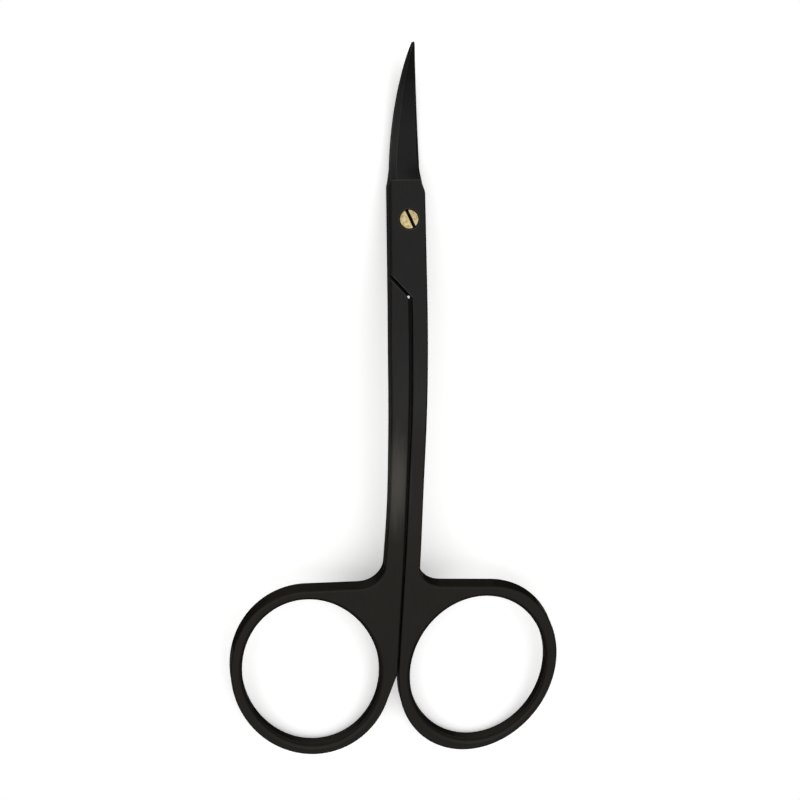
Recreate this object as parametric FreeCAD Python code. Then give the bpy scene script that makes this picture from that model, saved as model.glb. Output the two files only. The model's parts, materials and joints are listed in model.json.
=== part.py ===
import FreeCAD
import Part

import math
import os

Vector = FreeCAD.Vector

# Gum scissors, 119 mm long, with S-shaped halves. All lengths are in millimetres, all angles in degrees.
# The model is drawn with the screw axis as Z, X across the scissors and Y toward the tips, and is then
# laid on its ring ends and blades. The upper half has its ring at +X, the lower half its ring at -X.

# Side profile, as runs along the middle of the thickness, counted from the screw axis
joint_front = 6.0
joint_back = 11.9
blade_length = 23.3
blade_turn = 59.2
arch_length = 23.2
arch_turn = 20.7
shank_length = 12.9
bend_length = 9.0
bend_turn = 5.7

# Thicknesses, square to the profile
joint_thickness = 3.9
ring_thickness = 2.75
taper_delay = 1.2

# Joint plates and the shoulders behind them
joint_clearance = 0.02
right_corner_across = 0.7
right_corner_along = 2.0
left_corner_across = 0.2
left_corner_along = 0.7
nose_waste = 2.0
shoulder_side = 8.35
shoulder_gap = 0.58

# Gap between the halves along the middle, at the joint and at the rings, and how far the middle lies across
# from the screw's axis
gap_front = 0.5
gap_back = 0.14
gap_end = 76.8
middle_across = -0.12

# Each half's own shape, ground by hand: half-width at the joint's nose, at the swell and the waist of the shank
# and at the corner before the ring, the ring's distance from the middle, how far behind the screw its centre
# lies, half-width and half-length of the ring, its outward lean, its wall beside and beyond the hole, and the
# hole's turn
swell_back = 20.4
waist_back = 44.4
side_easing = 4.0
corner_back = 59.9
halves = {
    "upper": {
        "side": 1,
        "nose": 2.78,
        "swell": 2.63,
        "waist": 2.54,
        "corner": 2.64,
        "apart": 0.23,
        "behind": 76.85,
        "half_width": 13.17,
        "half_length": 16.32,
        "lean": 8.2,
        "wall_beside": 1.8,
        "wall_beyond": 2.02,
        "hole_turn": -8.0,
    },
    "lower": {
        "side": -1,
        "nose": 2.73,
        "swell": 3.15,
        "waist": 2.78,
        "corner": 3.21,
        "apart": 1.0,
        "behind": 76.0,
        "half_width": 13.11,
        "half_length": 16.35,
        "lean": 13.4,
        "wall_beside": 1.92,
        "wall_beyond": 1.8,
        "hole_turn": 0.0,
    },
}
crotch_radius = 3.9
heel_radius = 4.0

# Blades: place across from the middle, half-width at the back and at the tip, ridge height, ridge inset, and
# the cutting edge's inset, land and bevel
blade_across = -0.16
blade_half_width = 2.44
tip_half_width = 0.24
blade_height = 1.72
tip_height = 0.42
ridge_inset = 0.95
spine_share = 0.7
blade_taper = 1.6
edge_inset = 0.18
edge_land = 0.12
edge_bevel = 0.3
edge_rise = 0.42
root_land = 1.45
root_run = 3.6
blade_root = 1.5
blade_clearance = 0.06

# Edges
edge_round = 0.3
plate_round = 0.6
ring_inner_round = 0.7

# Joint screw
head_diameter = 3.0
head_height = 0.8
head_dome = 0.14
head_chamfer = 0.08
head_clearance = 0.12
seat_clearance = 0.02
pivot_diameter = 2.0
pivot_clearance = 0.03
thread_diameter = 1.7
slot_width = 0.5
slot_depth = 0.5
slot_angle = 24.0
slot_across = 0.22

# Reach of cutting tools and boxes past everything they meet
beyond = 60.0


def run_end(y, z, angle, length, turn):
    """Place and heading after one run of the profile, straight or an arc; length is negative going back."""
    a0 = math.radians(angle)
    a1 = math.radians(angle + turn)
    if a1 == a0:
        return y + length * math.cos(a0), z + length * math.sin(a0), angle
    radius = length / (a1 - a0)
    return (
        y + radius * (math.sin(a1) - math.sin(a0)),
        z - radius * (math.cos(a1) - math.cos(a0)),
        angle + turn,
    )


def station(s):
    """Place (y, z) and heading of the profile at distance s from the screw axis, plus toward the tip."""
    ahead = [(joint_front, 0.0), (blade_length, blade_turn)]
    behind = [
        (joint_back, 0.0),
        (arch_length, arch_turn),
        (shank_length, 0.0),
        (bend_length, bend_turn),
        (beyond, 0.0),
    ]
    sign = 1 if s > 0 else -1
    left = abs(s)
    y, z, angle = 0.0, 0.0, 0.0
    for length, turn in ahead if s > 0 else behind:
        used = min(length, left)
        y, z, angle = run_end(y, z, angle, sign * used, turn * used / length)
        left -= used
        if left <= 0:
            break
    return y, z, angle


def point(x, s, height):
    """A point across by x and off the middle of the thickness by height, at distance s."""
    y, z, angle = station(s)
    a = math.radians(angle)
    return Vector(x, y - height * math.sin(a), z + height * math.cos(a))


def heading(s):
    a = math.radians(station(s)[2])
    return Vector(0, math.cos(a), math.sin(a))


ring_start = joint_back + arch_length + shank_length + bend_length
ring_heading = heading(-ring_start)
ring_normal = Vector(0, -ring_heading.z, ring_heading.y)
ring_origin = point(0, -ring_start, 0)
profile_marks = [0.25 * i for i in range(-500, 140)]


def ring_point(x, v):
    """A point of the ring plane, v ahead of the place where the rings' flat run starts."""
    return ring_origin + Vector(x, 0, 0) + ring_heading * v


def ring_v(s):
    """How far ahead in the ring plane the profile's point at distance s lies."""
    return (point(0, s, 0) - ring_origin).dot(ring_heading)


def prism(edges, direction, low, high):
    """Solid between two heights along a direction, over a closed outline."""
    face = Part.Face(Part.Wire(Part.__sortEdges__(edges)))
    face.translate(direction * low)
    return face.extrude(direction * (high - low))


def loop(points):
    return [Part.makeLine(points[i - 1], points[i]) for i in range(len(points))]


def thickness(s):
    """Full thickness of shank and ring; it eases from the joint's to the ring's over the curved runs."""
    share = (-s - joint_back) / (ring_start - joint_back)
    share = min(max(share, 0.0), 1.0) ** taper_delay
    ease = (1 - math.cos(math.pi * share)) / 2
    return joint_thickness + (ring_thickness - joint_thickness) * ease


def thickness_band():
    """The side profile at its full thickness, wide enough for both rings."""
    ring_end = -ring_start - beyond
    nose = joint_front + 2 * nose_waste
    steps = 14
    marks = [-joint_back - (ring_start - joint_back) * i / steps for i in range(steps + 1)]
    sides = []
    for half in (0.5, -0.5):
        front = Part.makeLine(Vector(0, nose, half * joint_thickness),
                              Vector(0, -joint_back, half * joint_thickness))
        curve = Part.BSplineCurve()
        curve.interpolate(
            Points=[point(0, s, half * thickness(s)) for s in marks],
            InitialTangent=heading(-joint_back) * -1,
            FinalTangent=ring_heading * -1,
        )
        back = Part.makeLine(point(0, -ring_start, half * ring_thickness),
                             point(0, ring_end, half * ring_thickness))
        sides.append([front, curve.toShape(), back])
    ends = [
        Part.makeLine(Vector(0, nose, joint_thickness / 2), Vector(0, nose, -joint_thickness / 2)),
        Part.makeLine(point(0, ring_end, ring_thickness / 2), point(0, ring_end, -ring_thickness / 2)),
    ]
    face = Part.Face(Part.Wire(Part.__sortEdges__(sides[0] + sides[1] + ends)))
    face.translate(Vector(-beyond, 0, 0))
    return face.extrude(Vector(2 * beyond, 0, 0))


class Oval:
    """A leaning ellipse in the ring plane, with its centre at x, v and its long axis leaning outward."""

    def __init__(self, x, v, half_width, half_length, lean):
        self.x = x
        self.v = v
        self.half_width = half_width
        self.half_length = half_length
        self.lean = math.radians(lean)

    def at(self, angle):
        """Point at an angle on the oval: 0 is outward, 90 degrees is toward the tips."""
        across = self.half_width * math.cos(angle)
        along = self.half_length * math.sin(angle)
        c = math.cos(self.lean)
        s = math.sin(self.lean)
        return self.x + across * c + along * s, self.v - across * s + along * c

    def touch(self, x, v, turn):
        """Angle at which a straight line from the outside point (x, v) touches the oval."""
        dx = x - self.x
        dv = v - self.v
        c = math.cos(self.lean)
        s = math.sin(self.lean)
        p = (dx * c - dv * s) / self.half_width
        q = (dx * s + dv * c) / self.half_length
        return math.atan2(q, p) + turn * math.acos(1 / math.hypot(p, q))

    def edge(self, side, start=None, end=None):
        """The oval as an edge on one side of the scissors, whole or from one angle to another."""
        def at(angle):
            x, v = self.at(angle)
            return ring_point(side * x, v)

        centre = ring_point(side * self.x, self.v)
        if start is None:
            ellipse = Part.Ellipse(at(math.pi / 2), at(0), centre)
            return ellipse.toShape()
        count = 24
        angles = [start + (end - start) * i / count for i in range(count + 1)]
        curve = Part.BSplineCurve()
        curve.interpolate([at(a) for a in angles])
        return curve.toShape()


def side_at(half, s):
    """Half-width of a half's outer side beside the joint, which runs straight from the nose to the swell."""
    share = (joint_front - s) / (joint_front + swell_back)
    return half["nose"] + (half["swell"] - half["nose"]) * share


def rounded_corner(side, start, corner, end, radius=None, reach=None):
    """Arc in the ring plane that rounds a corner of an outline, of a radius or over a reach each way."""
    def unit(a, b):
        length = math.hypot(b[0] - a[0], b[1] - a[1])
        return (b[0] - a[0]) / length, (b[1] - a[1]) / length

    to_start = unit(corner, start)
    to_end = unit(corner, end)
    half_angle = math.acos(to_start[0] * to_end[0] + to_start[1] * to_end[1]) / 2
    if radius is None:
        radius = reach * math.tan(half_angle)
    else:
        reach = radius / math.tan(half_angle)
    middle = unit((0, 0), (to_start[0] + to_end[0], to_start[1] + to_end[1]))
    depth = radius / math.sin(half_angle) - radius
    ends = [(corner[0] + d[0] * reach, corner[1] + d[1] * reach) for d in (to_start, to_end)]
    top = (corner[0] + middle[0] * depth, corner[1] + middle[1] * depth)
    places = [ring_point(side * x, v) for x, v in (ends[0], top, ends[1])]
    return Part.Arc(*places).toShape()


def handle(half, band):
    """Shank, web and ring of one half, from the joint's nose to the ring's end."""
    side = half["side"]
    lean = math.radians(half["lean"])
    ring_side = math.hypot(half["half_width"] * math.cos(lean), half["half_length"] * math.sin(lean))
    oval = Oval(half["apart"] + ring_side, ring_v(-half["behind"]), half["half_width"],
                half["half_length"], half["lean"])
    nose = joint_front + nose_waste
    front_outside = (side_at(half, nose), ring_v(0) + (ring_v(0) - ring_v(-joint_back)) * nose / joint_back)
    swell = (half["swell"], ring_v(-swell_back))
    waist = (half["waist"], ring_v(-waist_back))
    corner = (half["corner"], ring_v(-corner_back))
    heel = (gap_back / 2, ring_v(-gap_end))
    front_inside = (gap_front / 2, front_outside[1])
    crest_angle = oval.touch(corner[0], corner[1], -1)
    heel_angle = crest_angle - (crest_angle - oval.touch(heel[0], heel[1], 1)) % (2 * math.pi)
    crest = oval.at(crest_angle)
    under = oval.at(heel_angle)
    crotch_arc = rounded_corner(side, waist, corner, crest, crotch_radius)
    heel_arc = rounded_corner(side, under, heel, front_inside, heel_radius)

    def place(spot):
        return ring_point(side * spot[0], spot[1])

    swell_arc = rounded_corner(side, front_outside, swell, waist, reach=side_easing)
    waist_arc = rounded_corner(side, swell, waist, corner, reach=side_easing)

    def joined(first, second):
        return Part.makeLine(first.lastVertex(True).Point, second.firstVertex(True).Point)

    edges = [
        Part.makeLine(place(front_inside), place(front_outside)),
        Part.makeLine(place(front_outside), swell_arc.firstVertex(True).Point),
        swell_arc,
        joined(swell_arc, waist_arc),
        waist_arc,
        joined(waist_arc, crotch_arc),
        crotch_arc,
        Part.makeLine(crotch_arc.lastVertex(True).Point, place(crest)),
        oval.edge(side, crest_angle, heel_angle),
        Part.makeLine(place(under), heel_arc.firstVertex(True).Point),
        heel_arc,
        Part.makeLine(heel_arc.lastVertex(True).Point, place(front_inside)),
    ]
    solid = prism(edges, ring_normal, -beyond, beyond).common(band).removeSplitter().Solids[0]
    solid = rounded_bar(solid)
    hole = Oval(oval.x, oval.v, half["half_width"] - half["wall_beside"],
                half["half_length"] - half["wall_beyond"], half["lean"] + half["hole_turn"])
    solid = solid.cut(prism([hole.edge(side)], ring_normal, -beyond, beyond)).Solids[0]
    return solid.makeFillet(ring_inner_round, [e for e in solid.Edges if e.isClosed()])


def joint_plate(side, other):
    """The half's flat plate on the far side of the middle, ending at the slanted shoulder."""
    w = side_at(other, -shoulder_side)
    nose = joint_front + nose_waste
    g = gap_front / 2
    plan = [
        (-w, -shoulder_side),
        (g, -joint_back),
        (w / 2, -joint_back),
        (w / 2, nose),
        (-side_at(other, nose), nose),
    ]
    points = [Vector(side * x, y, 0) for x, y in plan]
    return prism(loop(points), Vector(0, 0, 1), 0, side * joint_thickness / 2)


def lap_cut(half):
    """What is taken from a half so that the other half's plate and its shoulder gap find room."""
    side = half["side"]
    w = side_at(half, -shoulder_side)
    g = gap_front / 2
    slope = (joint_back - shoulder_side) / (w + g)
    drop = shoulder_gap * math.hypot(1, slope)
    reach = 2.0
    plan = [
        (w + reach, -shoulder_side - drop + slope * reach),
        (-g, -joint_back - drop),
        (-w - reach, -joint_back - drop),
        (-w - reach, joint_front + beyond),
        (w + reach, joint_front + beyond),
    ]
    points = [Vector(side * x, y, 0) for x, y in plan]
    return prism(loop(points), Vector(0, 0, 1), -side * beyond, side * joint_clearance / 2)


def nose_cut():
    """What is taken off both halves ahead of the joint, with a corner off on either side."""
    right = halves["upper"]["nose"]
    left = -halves["lower"]["nose"]
    plan = [
        (right + right_corner_across, joint_front - 2 * right_corner_along),
        (right - right_corner_across, joint_front),
        (left + left_corner_across, joint_front),
        (left - left_corner_across, joint_front - 2 * left_corner_along),
        (left - left_corner_across, joint_front + beyond),
        (right + right_corner_across, joint_front + beyond),
    ]
    points = [Vector(x, y, 0) for x, y in plan]
    return prism(loop(points), Vector(0, 0, 1), -beyond, beyond)


def blade_share(s):
    """How far along the blade distance s lies: 0 at the joint's nose, 1 at the tip."""
    return max(s - joint_front, 0.0) / blade_length


def blade_section(side, s, land, inset):
    """Six-cornered section: flat inside, cutting edge and its bevel, sloping face, ridge and spine."""
    share = blade_share(s)
    width = tip_half_width + (blade_half_width - tip_half_width) * (1 - share ** blade_taper)
    height = blade_height + (tip_height - blade_height) * share
    ridge = -width + min(ridge_inset, width / 2)
    low = blade_clearance
    narrow = width / blade_half_width
    rise = min(edge_rise * narrow, (height - low - land) / 2)
    corners = [
        (-width, low),
        (width - inset, low),
        (width - inset, low + land),
        (width - inset - edge_bevel * narrow, low + land + rise),
        (ridge, height),
        (-width, low + (height - low) * spine_share),
    ]
    return Part.makePolygon([point(side * x + blade_across, s, side * h) for x, h in corners + corners[:1]])


def blade(side):
    """One blade from inside the joint to the tip, curling up along the profile."""
    sections = [blade_section(side, joint_front - blade_root, root_land, 0)]
    root_steps = 3
    for i in range(root_steps):
        t = i / root_steps
        land = edge_land + (root_land - edge_land) * (1 - t) ** 2
        sections.append(blade_section(side, joint_front + root_run * t, land, edge_inset * t))
    steps = 8
    length = blade_length - root_run
    for i in range(steps + 1):
        s = joint_front + root_run + length * i / steps
        sections.append(blade_section(side, s, edge_land, edge_inset * (1 - i / steps)))
    return Part.makeLoft(sections, True, False)


def off_middle(p):
    """Distance s along the profile at a point of the model, and the point's height off the middle."""
    s = min(profile_marks, key=lambda mark: (point(p.x, mark, 0) - p).Length)
    y, z, angle = station(s)
    a = math.radians(angle)
    return s, (p.z - z) * math.cos(a) - (p.y - y) * math.sin(a)


def long_edges(solid):
    """Edges along the outline of a bar, on its top and bottom faces."""
    found = []
    for edge in solid.Edges:
        low, high = edge.ParameterRange
        places = [off_middle(edge.valueAt(low + (high - low) * t)) for t in (0, 0.5, 1)]
        along = max(s for s, h in places) - min(s for s, h in places)
        if along > 0.05 and all(abs(abs(h) - thickness(s) / 2) < 0.03 for s, h in places):
            found.append(edge)
    return found


def rounded_bar(bar):
    """The bar with its long edges rounded, one stretch of its length after the other."""
    reach = 2 * beyond
    seam = -(swell_back + waist_back) / 2
    stretches = []
    for back, front in ((-reach, seam), (seam, reach)):
        box = Part.makeBox(2 * reach, front - back, 2 * reach, Vector(-reach, back, -reach))
        stretch = bar.common(box).Solids[0]
        stretches.append(stretch.makeFillet(edge_round, long_edges(stretch)))
    return stretches[0].fuse(stretches[1]).removeSplitter().Solids[0]


def plate_edge(plate, side):
    """The plate's long outer edge on its outside face."""
    def outside(p):
        return side * p.x < -1.5 and abs(abs(p.z) - joint_thickness / 2) < 0.01

    return [e for e in plate.Edges if all(outside(v.Point) for v in e.Vertexes)]


def pivot_cuts(side):
    """What the screw takes from a half: a sunk seat and a running hole above, a thread hole below."""
    up = Vector(0, 0, 1)
    if side < 0:
        return Part.makeCylinder(thread_diameter / 2, 2 * joint_thickness, Vector(0, 0, -joint_thickness), up)
    seat = joint_thickness / 2 - head_height - seat_clearance
    bore = Part.makeCylinder(pivot_diameter / 2 + pivot_clearance, 2 * joint_thickness,
                             Vector(0, 0, -joint_thickness), up)
    return bore.fuse(Part.makeCylinder(head_diameter / 2 + head_clearance, joint_thickness,
                                       Vector(0, 0, seat), up))


def half_solid(half, other, band):
    """One half of the scissors, forged and ground from one piece."""
    side = half["side"]
    bar = handle(half, band)
    plate = joint_plate(side, other)
    plate = plate.makeFillet(plate_round, plate_edge(plate, side))
    body = bar.fuse(plate).removeSplitter()
    body = body.cut(lap_cut(half)).cut(nose_cut()).fuse(blade(side))
    body.translate(Vector(middle_across, 0, 0))
    return body.cut(pivot_cuts(side)).Solids[0]


def joint_screw():
    """Slotted joint screw: sunk head with a low dome, plain pivot and the threaded end."""
    top = joint_thickness / 2
    head_rim = head_diameter / 2
    head_under = top - head_height
    pivot_rim = pivot_diameter / 2
    pivot_end = -joint_clearance / 2
    profile = [
        (head_rim - head_chamfer, top),
        (head_rim, top - head_chamfer),
        (head_rim, head_under),
        (pivot_rim, head_under),
        (pivot_rim, pivot_end),
        (thread_diameter / 2, pivot_end),
        (thread_diameter / 2, -joint_thickness / 2),
        (0, -joint_thickness / 2),
        (0, top + head_dome),
    ]
    points = [Vector(r, 0, z) for r, z in profile]
    edges = [Part.makeLine(points[i], points[i + 1]) for i in range(len(points) - 1)]
    flat = head_rim - head_chamfer
    dome_radius = (flat ** 2 + head_dome ** 2) / (2 * head_dome)
    half_way = flat / 2
    crown = top + head_dome - dome_radius + math.sqrt(dome_radius ** 2 - half_way ** 2)
    edges.append(Part.Arc(points[-1], Vector(half_way, 0, crown), points[0]).toShape())
    body = Part.Face(Part.Wire(edges)).revolve(Vector(0, 0, 0), Vector(0, 0, 1), 360)
    slot = Part.makeBox(slot_width, 2 * head_diameter, head_height,
                        Vector(-slot_width / 2, -head_diameter, top - slot_depth))
    slot.rotate(Vector(0, 0, 0), Vector(0, 0, 1), slot_angle)
    slot.translate(Vector(slot_across, 0, 0))
    return body.cut(slot).Solids[0]


def rest_tilt():
    """Turn about X that brings the ring ends and the lower blade down to the same height."""
    tails = [point(0, -half["behind"] - half["half_length"], -ring_thickness / 2)
             for half in halves.values()]
    steps = 60
    belly = []
    for i in range(steps + 1):
        s = joint_front + blade_length * i / steps
        belly.append(point(0, s, -blade_height + (blade_height - tip_height) * i / steps))
    low, high = -40.0, 40.0
    while high - low > 1e-6:
        tilt = (low + high) / 2
        c, n = math.cos(math.radians(tilt)), math.sin(math.radians(tilt))
        tail_height = min(p.y * n + p.z * c for p in tails)
        belly_height = min(p.y * n + p.z * c for p in belly)
        if tail_height < belly_height:
            high = tilt
        else:
            low = tilt
    return (low + high) / 2


def laid_down(shapes):
    """All pieces turned onto the surface they rest on, with the origin under the middle of the whole."""
    tilt = rest_tilt()
    for shape in shapes.values():
        shape.rotate(Vector(0, 0, 0), Vector(1, 0, 0), tilt)
    box = FreeCAD.BoundBox()
    for shape in shapes.values():
        box.add(shape.optimalBoundingBox(False))
    move = Vector(-box.Center.x, -box.Center.y, -box.ZMin)
    for shape in shapes.values():
        shape.translate(move)
    axis = Vector(0, -math.sin(math.radians(tilt)), math.cos(math.radians(tilt)))
    print("size", [round(v, 3) for v in (box.XLength, box.YLength, box.ZLength)], "tilt", round(tilt, 3))
    print("pivot", [round(v, 5) for v in move], "axis", [round(v, 6) for v in axis])
    return shapes


def main():
    os.makedirs("parts", exist_ok=True)
    band = thickness_band()
    shapes = {
        "upper_half": half_solid(halves["upper"], halves["lower"], band),
        "lower_half": half_solid(halves["lower"], halves["upper"], band),
        "joint_screw": joint_screw(),
    }
    for name, shape in laid_down(shapes).items():
        print(name, "solids", len(shape.Solids), "valid", shape.isValid(), "volume", round(shape.Volume, 2))
        shape.exportStep("parts/" + name + ".step")


main()
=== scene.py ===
import json
import math

import bpy
from mathutils import Matrix, Vector

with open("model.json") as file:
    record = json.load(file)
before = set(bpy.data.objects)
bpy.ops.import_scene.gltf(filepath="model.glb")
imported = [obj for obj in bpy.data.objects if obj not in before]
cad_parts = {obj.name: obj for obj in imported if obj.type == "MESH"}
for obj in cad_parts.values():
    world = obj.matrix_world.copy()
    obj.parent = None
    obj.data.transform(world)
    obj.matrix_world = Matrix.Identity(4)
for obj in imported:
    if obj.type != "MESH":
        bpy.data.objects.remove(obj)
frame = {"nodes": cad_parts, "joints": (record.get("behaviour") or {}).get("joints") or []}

scene = bpy.context.scene
nodes = frame["nodes"]
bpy.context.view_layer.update()  # the scissors' box before anything is dressed
hinge = frame["joints"][0]
pivot = Vector(hinge["pos_m"])
screwAxis = Vector(hinge["axis"]).normalized()
print("frame loaded:", sorted(nodes))


# camera, seen from a little to the left ring's side and a little beyond the tips

view = {
    "sideAngle": 10.0,  # degrees off straight down, toward -X
    "tipAngle": 17.522,  # degrees off straight down, toward the tips
    "roll": 1.208,
    "distance": 0.31693,
    "lens": 90.051,
    "aim": (0.0000552, 0.0030532, 0.0039966),
}

leanSide = math.tan(math.radians(view["sideAngle"]))
leanTips = math.tan(math.radians(view["tipAngle"]))
outward = Vector((-leanSide, leanTips, 1)).normalized()
across = Vector((0, 1, 0)).cross(outward).normalized()
upward = outward.cross(across)
turn = math.radians(view["roll"])
right = across * math.cos(turn) + upward * math.sin(turn)
top = upward * math.cos(turn) - across * math.sin(turn)
place = Vector(view["aim"]) + outward * view["distance"]

cameraData = bpy.data.cameras.new("photoCamera")
cameraData.sensor_width = 36
cameraData.lens = view["lens"]
camera = bpy.data.objects.new("photoCamera", cameraData)
scene.collection.objects.link(camera)
camera.matrix_world = Matrix.Translation(place) @ Matrix((right, top, outward)).transposed().to_4x4()
scene.camera = camera
scene.view_settings.view_transform = "Standard"
print("camera set")


# shader writing: a Graph makes nodes, a Num does sums with them

class Num:
    def __init__(self, graph, socket):
        self.graph = graph
        self.socket = socket

    def sum(self, operation, other, swapped=False):
        pair = (other, self) if swapped else (self, other)
        return self.graph.number(operation, *pair)

    def __add__(self, other):
        return self.sum("ADD", other)

    def __radd__(self, other):
        return self.sum("ADD", other, True)

    def __sub__(self, other):
        return self.sum("SUBTRACT", other)

    def __rsub__(self, other):
        return self.sum("SUBTRACT", other, True)

    def __mul__(self, other):
        return self.sum("MULTIPLY", other)

    def __rmul__(self, other):
        return self.sum("MULTIPLY", other, True)

    def __pow__(self, other):
        return self.sum("POWER", other)


class Graph:
    def __init__(self, owner, outputKind):
        owner.use_nodes = True
        self.owner = owner
        self.tree = owner.node_tree
        self.tree.nodes.clear()
        self.output = self.tree.nodes.new(outputKind)

    def feed(self, socket, value):
        if isinstance(value, Num):
            value = value.socket
        if isinstance(value, bpy.types.NodeSocket):
            self.tree.links.new(value, socket)
        else:
            socket.default_value = value

    def node(self, kind, settings=None, inputs=None):
        made = self.tree.nodes.new(kind)
        for key, value in (settings or {}).items():
            setattr(made, key, value)
        for key, value in (inputs or {}).items():
            self.feed(made.inputs[key], value)
        return made

    def number(self, operation, *values):
        made = self.node("ShaderNodeMath", {"operation": operation}, dict(enumerate(values)))
        return Num(self, made.outputs[0])

    def vector(self, operation, *values):
        made = self.node("ShaderNodeVectorMath", {"operation": operation}, dict(enumerate(values)))
        if operation in ("LENGTH", "DOT_PRODUCT"):
            return Num(self, made.outputs["Value"])
        return made.outputs["Vector"]

    def place(self):
        return self.node("ShaderNodeTexCoord").outputs["Object"]

    def axes(self, vector):
        split = self.node("ShaderNodeSeparateXYZ", None, {0: vector})
        return [Num(self, socket) for socket in split.outputs]

    def noise(self, vector, size, detail=3, roughness=0.5, distortion=0.0):
        made = self.node("ShaderNodeTexNoise", {"noise_dimensions": "3D"}, {
            "Vector": vector, "Scale": 1000 / size,  # size in mm
            "Detail": detail, "Roughness": roughness, "Distortion": distortion})
        return Num(self, made.outputs["Fac"])

    def span(self, value, low, high, newLow=0.0, newHigh=1.0, smooth=True):
        settings = {"interpolation_type": "SMOOTHSTEP" if smooth else "LINEAR"}
        made = self.node("ShaderNodeMapRange", settings, {
            "Value": value, "From Min": low, "From Max": high, "To Min": newLow, "To Max": newHigh})
        return Num(self, made.outputs["Result"])

    def blend(self, share, first, second):
        made = self.node("ShaderNodeMix", {"data_type": "RGBA"}, {0: share, 6: first, 7: second})
        return made.outputs[2]

    def bump(self, height, depth):
        return self.node("ShaderNodeBump", None, {"Height": height, "Distance": depth}).outputs["Normal"]

    def finish(self, shader):
        self.tree.links.new(shader.outputs[0], self.output.inputs["Surface"])
        return self.owner


def startMaterial(name):
    return Graph(bpy.data.materials.new(name), "ShaderNodeOutputMaterial")


def dress(node, material):
    slots = nodes[node].data.materials
    slots.clear()
    slots.append(material)


# black coated steel: satin along the shanks, warmer toward the rings, edges lighter with wear and painted
# highlight
# with a painted highlight on the left shank and painted shade on the walls of the gap between the shanks

blackSteel = {
    "coat": (0.0182, 0.0181, 0.0179, 1),
    "warmCoat": (0.0215, 0.0196, 0.0174, 1),
    "warmFrom": 0.012,  # along Y, where the coat starts to turn warmer
    "warmTo": -0.020,
    "warmWander": 0.012,
    # edges lighter, partly from wear and partly as a painted highlight along the rounded edges
    "wearAndSheenTone": (0.100, 0.094, 0.088, 1),
    "edgeWidth": 0.16,  # mm
    "edgeTurn": (0.004, 0.10),  # how far a rounded normal turns, from no lightening to full wear and painted highlight
    "wearAndSheenShare": 0.8,
    # painted highlight on the left shank, where the light would catch its face
    "paintedHighlight": (0.058, 0.054, 0.049, 1),
    "highlightAt": (-1.9, -40.4, 6.9),  # mm from the screw, the middle of the painted highlight on the left shank
    "highlightReach": (2.4, 10.0, 6.0),
    "highlightRagged": 0.9,
    "highlightShare": 0.9,
    "gapShade": (0.0015, 0.0015, 0.0015, 1),  # painted shade on the walls of the gap between the shanks
    "gapMiddle": -0.12,  # mm across from the screw
    "gapFrom": -11.9,  # mm along from the screw, where the gap is widest
    "gapHalf": 0.25,  # mm, half of the gap there
    "gapTaper": 0.00277,  # narrower by this per mm toward the rings
    "gapDepth": (0.06, 0.03),  # mm past the wall, from no shade to full painted shade
    "gapStart": 0.6,  # mm over which the painted shade begins
    "gapShadeShare": 0.9,
    "cloudSize": 7.0,  # mm
    "grainSize": 0.13,  # mm
    "grainDepth": 0.0012,  # mm
    "strokeSize": 0.16,  # mm across the brush lines
    "strokeStretch": (1, 0.025, 0.3),  # the lines run along Y
    "roughness": 0.36,
    "roughSpread": 0.10,
    "metallic": 0.72,
    "grazing": (0.20, 0.18, 0.16, 1),
}


# mask of the lighter edges: partly wear, partly a painted highlight on the rounded edges
def wearAndSheenEdges(g, look, clouds, grain):
    rounded = g.node("ShaderNodeBevel", {"samples": 6}, {"Radius": look["edgeWidth"] / 1000}).outputs[0]
    flat = g.node("ShaderNodeNewGeometry").outputs["Normal"]
    turned = 1 - g.vector("DOT_PRODUCT", rounded, flat)
    patchy = g.span(grain * 0.6 + clouds * 0.4, 0.30, 0.62, 0.35, 1.0)
    return g.span(turned, *look["edgeTurn"]) * patchy


# mask of the painted highlight on the left shank, ragged along the brush lines
def paintedHighlightPlace(g, look, where, strokes):
    middle = tuple(start + offset / 1000 for start, offset in zip(pivot, look["highlightAt"]))
    scale = tuple(1000 / reach for reach in look["highlightReach"])
    off = g.vector("LENGTH", g.vector("MULTIPLY", g.vector("SUBTRACT", where, middle), scale))
    return g.span(off + (strokes - 0.5) * look["highlightRagged"], 1.15, 0.15)


# mask of the painted shade on the walls of the gap between the shanks
def gapWallShade(g, look, across, along):
    behind = along * 1000 - pivot.y * 1000
    aside = g.number("ABSOLUTE", across * 1000 - (pivot.x * 1000 + look["gapMiddle"]))
    pastWall = aside - (look["gapHalf"] + (behind - look["gapFrom"]) * look["gapTaper"])
    begun = g.span(behind, look["gapFrom"] + look["gapStart"], look["gapFrom"] - look["gapStart"])
    return g.span(pastWall, *look["gapDepth"]) * begun


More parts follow.
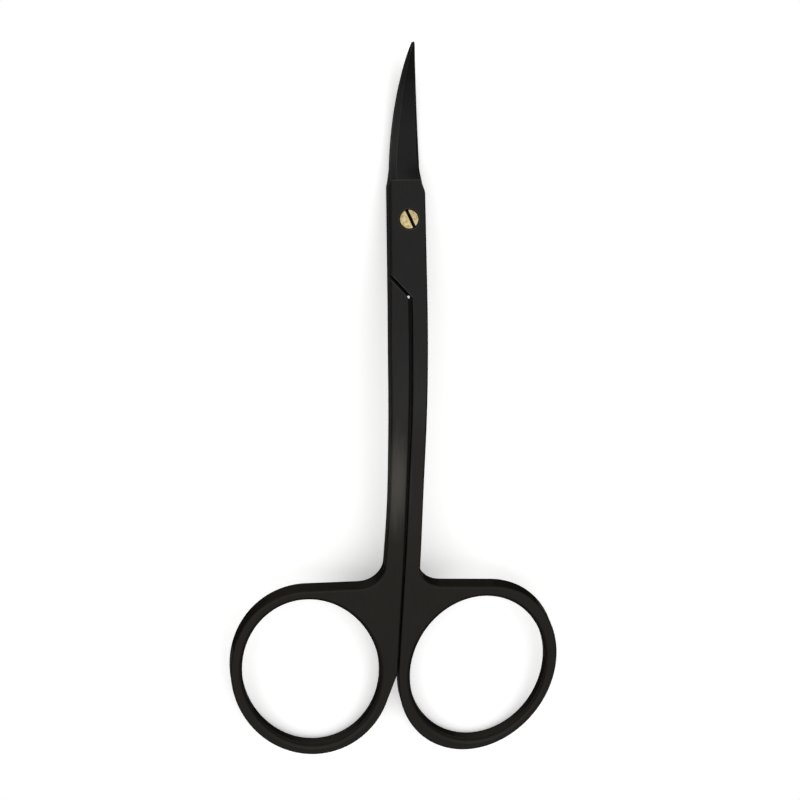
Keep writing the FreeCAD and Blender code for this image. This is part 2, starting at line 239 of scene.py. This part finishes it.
def makeBlackSteel(name, look):
    g = startMaterial(name)
    where = g.place()
    across, along = g.axes(where)[:2]
    clouds = g.noise(where, look["cloudSize"], 4, 0.55, 0.3)
    grain = g.noise(where, look["grainSize"], 4, 0.65)
    drawn = g.node("ShaderNodeMapping", None, {"Vector": where, "Scale": look["strokeStretch"]}).outputs[0]
    strokes = g.noise(drawn, look["strokeSize"], 3, 0.6)
    surface = grain * 0.5 + strokes * 0.5

    warmth = g.span(along + (clouds - 0.5) * look["warmWander"], look["warmFrom"], look["warmTo"])
    tint = g.blend(warmth, look["coat"], look["warmCoat"])
    # painted highlight on the left shank
    tint = g.blend(paintedHighlightPlace(g, look, where, strokes) * look["highlightShare"], tint, look["paintedHighlight"])
    # edges lightened, partly wear and partly painted highlight
    tint = g.blend(wearAndSheenEdges(g, look, clouds, grain) * look["wearAndSheenShare"], tint, look["wearAndSheenTone"])
    # painted shade in the gap between the shanks
    tint = g.blend(gapWallShade(g, look, across, along) * look["gapShadeShare"], tint, look["gapShade"])
    speckle = g.span(surface, 0.3, 0.7, 0.84, 1.16, False) * (0.92 + clouds * 0.16)
    shade = g.node("ShaderNodeVectorMath", {"operation": "SCALE"}, {0: tint, "Scale": speckle})
    rough = look["roughness"] + (clouds - 0.5) * look["roughSpread"] + (strokes - 0.5) * look["roughSpread"]
    return g.finish(g.node("ShaderNodeBsdfPrincipled", None, {
        "Base Color": shade.outputs[0],
        "Roughness": rough,
        "Normal": g.bump(surface, look["grainDepth"] / 1000),
        "Metallic": look["metallic"],
        "Specular IOR Level": 0.0,
        "Specular Tint": look["grazing"]}))


steel = makeBlackSteel("satinBlackSteel", blackSteel)
for half in ("upper_half", "lower_half"):
    dress(half, steel)
print("halves dressed")


# brass screw, faced in a lathe, with a tarnished rim and painted shade in its slot

screwBrass = {
    "brass": (0.34, 0.265, 0.105, 1),
    "paleBrass": (0.60, 0.50, 0.28, 1),
    "tarnish": (0.12, 0.075, 0.022, 1),
    "rimShare": 0.85,
    "spotShare": 0.35,
    "slotShade": (0.012, 0.009, 0.005, 1),  # painted shade in the slot
    "headRadius": 1.5,  # mm
    "rim": (0.16, 0.02),  # mm inside the head's edge, from clean to tarnished
    "faceHeight": 1.95,  # mm above the middle of the joint
    "slotDepth": (0.06, 0.22),  # mm under the face, from plain brass to painted shade
    "cloudSize": 0.5,  # mm
    "fineSize": 0.08,  # mm
    "ringPitch": 0.11,  # mm between lathe marks
    "ringWander": 0.05,
    "ringDepth": 0.004,  # mm
    "roughness": 0.26,
}


def makeBrass(name, look):
    g = startMaterial(name)
    where = g.place()
    fromPivot = g.vector("SUBTRACT", where, tuple(pivot))
    along = g.vector("DOT_PRODUCT", fromPivot, tuple(screwAxis))
    reach = g.vector("LENGTH", fromPivot)
    radius = ((reach * reach - along * along) ** 0.5) * 1000
    cloud = g.noise(where, look["cloudSize"], 4, 0.6)
    fine = g.noise(where, look["fineSize"], 3, 0.6)
    lathe = g.number("SINE", (radius + cloud * look["ringWander"]) * (2 * math.pi / look["ringPitch"]))
    rim = g.span(radius, *(look["headRadius"] - inside for inside in look["rim"]))
    slot = g.span(along * 1000, *(look["faceHeight"] - under for under in look["slotDepth"]))
    spots = g.span(cloud * 0.7 + fine * 0.3, 0.52, 0.68)

    metal = g.blend(g.span(cloud, 0.4, 0.6), look["brass"], look["paleBrass"])
    metal = g.blend(rim * look["rimShare"], metal, look["tarnish"])
    metal = g.blend(spots * look["spotShare"], metal, look["tarnish"])
    # painted shade down in the slot
    metal = g.blend(slot, metal, look["slotShade"])
    rough = look["roughness"] + spots * 0.18 + rim * 0.15 + slot * 0.35 + (fine - 0.5) * 0.1
    return g.finish(g.node("ShaderNodeBsdfPrincipled", None, {
        "Base Color": metal,
        "Roughness": rough,
        "Normal": g.bump(lathe * 0.4 + fine * 0.6, look["ringDepth"] / 1000),
        "Metallic": 1.0}))


dress("joint_screw", makeBrass("turnedBrass", screwBrass))
print("screw dressed")


# white table, which shows white to the camera and keeps the scissors' shadow; it thins out to the white room
# around the closed scissors, because an opened half's ring swings lower than the table

table = {
    "size": 1.6,
    "drop": 0.00002,  # under the scissors, so that the two surfaces don't coincide
    "colour": (0.93, 0.93, 0.925, 1),
    "dusty": (0.945, 0.942, 0.935, 1),
    "dustSize": 11.11,  # mm
    "roughness": 0.9,
    "specular": 0.1,
    "lift": 0.30,  # added for what looks at it, so that it clears to white
    "nearShank": 0.011,  # half width of the solid table along the blades and shanks
    "nearRings": 0.045,  # and around the rings
    "ringsFrom": -0.012,  # along Y
    "ringsTo": -0.022,
    "ends": 0.075,
    "fadeOver": 0.006,
}


def makeTable(look):
    bpy.ops.object.select_all(action="DESELECT")
    bpy.ops.mesh.primitive_plane_add(size=look["size"], location=(0, 0, -look["drop"]))
    board = bpy.context.active_object
    board.name = "table"
    bpy.ops.object.transform_apply(location=True, rotation=True, scale=True)

    g = startMaterial("whiteTable")
    where = g.place()
    dust = g.noise(where, look["dustSize"], 4, 0.6)
    matte = g.node("ShaderNodeBsdfPrincipled", None, {
        "Base Color": g.blend(g.span(dust, 0.3, 0.7), look["colour"], look["dusty"]),
        "Roughness": look["roughness"],
        "Specular IOR Level": look["specular"]})
    glow = g.node("ShaderNodeEmission", None, {"Color": (1, 1, 1, 1), "Strength": look["lift"]})
    lifted = g.node("ShaderNodeAddShader", None, {0: matte.outputs[0], 1: glow.outputs[0]})
    path = g.node("ShaderNodeLightPath")
    seen = g.number("MAXIMUM", path.outputs["Is Camera Ray"], path.outputs["Is Glossy Ray"])
    white = g.node("ShaderNodeMixShader", None, {0: seen, 1: matte.outputs[0], 2: lifted.outputs[0]})

    across, along = g.axes(where)[:2]
    aside = g.number("ABSOLUTE", across)
    ahead = g.number("ABSOLUTE", along)
    halfWidth = g.span(along, look["ringsFrom"], look["ringsTo"], look["nearShank"], look["nearRings"])
    nearAside = g.span(aside - halfWidth, look["fadeOver"], 0.0)
    nearAlong = g.span(ahead - look["ends"], look["fadeOver"], 0.0)
    clear = g.node("ShaderNodeBsdfTransparent")
    thinned = g.node("ShaderNodeMixShader", None, {
        0: nearAside * nearAlong, 1: clear.outputs[0], 2: white.outputs[0]})
    board.data.materials.append(g.finish(thinned))


makeTable(table)


# studio light: a broad key from the lower right, a softer fill from the left, and a pale ceiling

lamps = {
    "key": {"at": (0.13, -0.18, 0.77), "toward": (0, 0, 0), "size": 0.20, "power": 0.25},
    "side": {"at": (-0.50, 0.05, 0.48), "toward": (0, 0, 0), "size": 0.25, "power": 0.35},
}
room = {
    "colour": (1, 1, 1, 1),
    "dimTo": 0.25,  # height of a direction, up to which the room is dim
    "fullFrom": 0.85,
    "low": 0.03,
    "high": 1.30,
    "white": 1.0,  # to the camera, and under the horizon, where it is as bright as the table
}

for name, lamp in lamps.items():
    data = bpy.data.lights.new(name, "AREA")
    data.shape = "SQUARE"
    data.size = lamp["size"]
    data.energy = lamp["power"]
    thing = bpy.data.objects.new(name, data)
    scene.collection.objects.link(thing)
    thing.location = lamp["at"]
    aim = Vector(lamp["toward"]) - Vector(lamp["at"])
    thing.rotation_euler = aim.to_track_quat("-Z", "Y").to_euler()


def makeRoom(look):
    g = Graph(bpy.data.worlds.new("room"), "ShaderNodeOutputWorld")
    height = g.axes(g.node("ShaderNodeTexCoord").outputs["Generated"])[2]
    ceiling = g.span(height, look["dimTo"], look["fullFrom"], look["low"], look["high"], False)
    below = g.number("LESS_THAN", height, 0.0)
    seen = g.node("ShaderNodeLightPath").outputs["Is Camera Ray"]
    strength = ceiling + g.number("MAXIMUM", below, seen) * (look["white"] - ceiling)
    return g.finish(g.node("ShaderNodeBackground", None, {"Color": look["colour"], "Strength": strength}))


scene.world = makeRoom(room)
print("light and table set")
